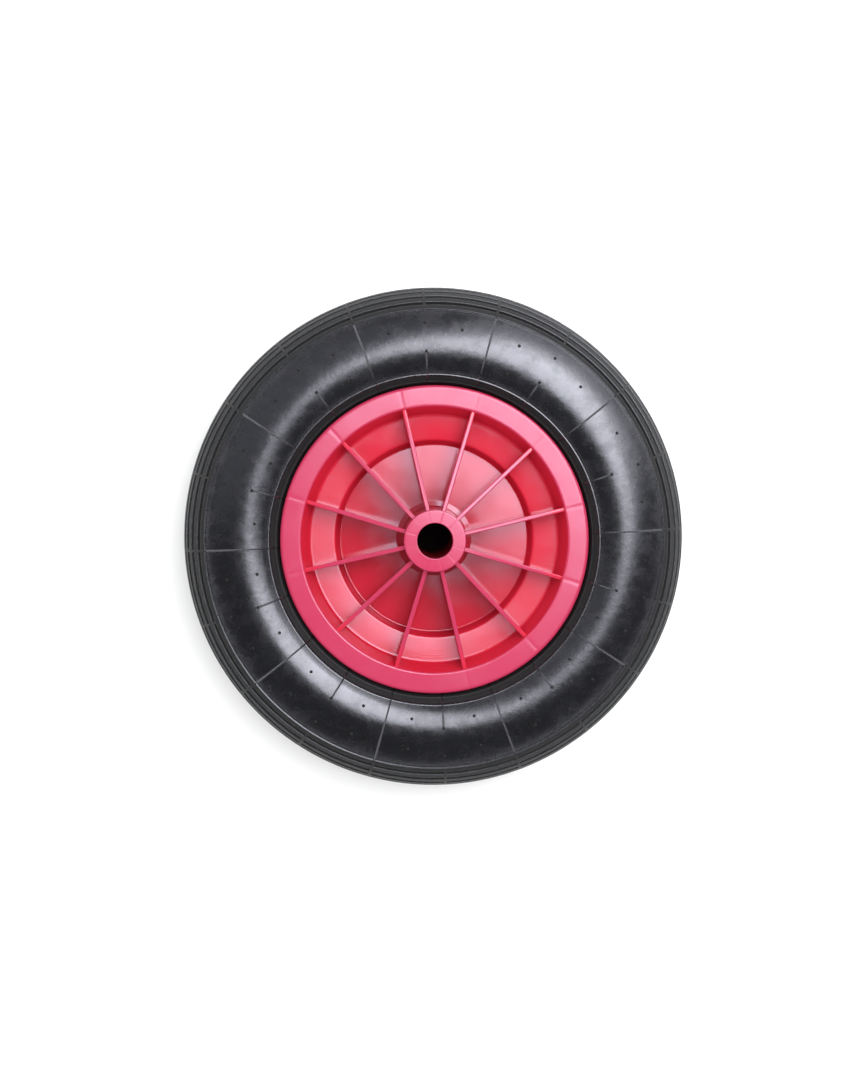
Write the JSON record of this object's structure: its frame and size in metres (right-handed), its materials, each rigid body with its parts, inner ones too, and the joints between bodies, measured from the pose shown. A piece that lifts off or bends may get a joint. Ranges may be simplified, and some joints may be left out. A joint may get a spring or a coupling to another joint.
{
  "type": "pneumatic trolley wheel",
  "caption": "Pneumatic trolley wheel: one-piece ribbed plastic rim with a plain axle bore, ribbed rubber tyre, inner tube and air valve.",
  "frame": {"origin": "centre of the wheel: on the bore's axis, midway between the two ends of the hub", "axes": "+Z along the axle towards the outer face of the wheel; the valve points along -Y from the rim's well to the hub, on the inner side (-Z)"},
  "size_m": [0.36, 0.36, 0.09],
  "materials": {
    "rim_plastic": "moulded, semi-gloss red",
    "tyre_rubber": "moulded black rubber, satin",
    "tube_rubber": "black rubber, matt",
    "stem_rubber": "black rubber, satin",
    "valve_brass": "turned brass",
    "core_brass": "turned brass",
    "gasket_rubber": "red sealing ring",
    "seal_rubber": "black rubber, matt",
    "spring_steel": "bright spring wire",
    "cap_plastic": "moulded black plastic"
  },
  "bodies": {
    "wheel": {"rim": "rim_plastic", "tyre": "tyre_rubber", "inner_tube": "tube_rubber", "valve_stem_rubber": "stem_rubber", "valve_stem_tube": "valve_brass", "valve_core_plug": "core_brass", "valve_core_barrel": "core_brass", "valve_core_gasket": "gasket_rubber", "valve_core_spring": "spring_steel"},
    "valve_pin": {"valve_core_pin": "core_brass", "valve_core_seal": "seal_rubber"},
    "valve_cap": {"valve_cap": "cap_plastic", "valve_cap_seal": "seal_rubber"}
  },
  "joints": [
    {"name": "valve_pin_press", "type": "slide", "parent": "wheel", "child": "valve_pin", "axis": [0, -1, 0], "range_m": [0, 0.0012], "stiffness_N_per_m": 150, "springref_m": -0.001, "deforming": ["valve_core_spring"]},
    {"name": "valve_cap_off", "type": "slide", "parent": "wheel", "child": "valve_cap", "axis": [0, 1, 0], "range_m": [0, 0.012]}
  ]
}
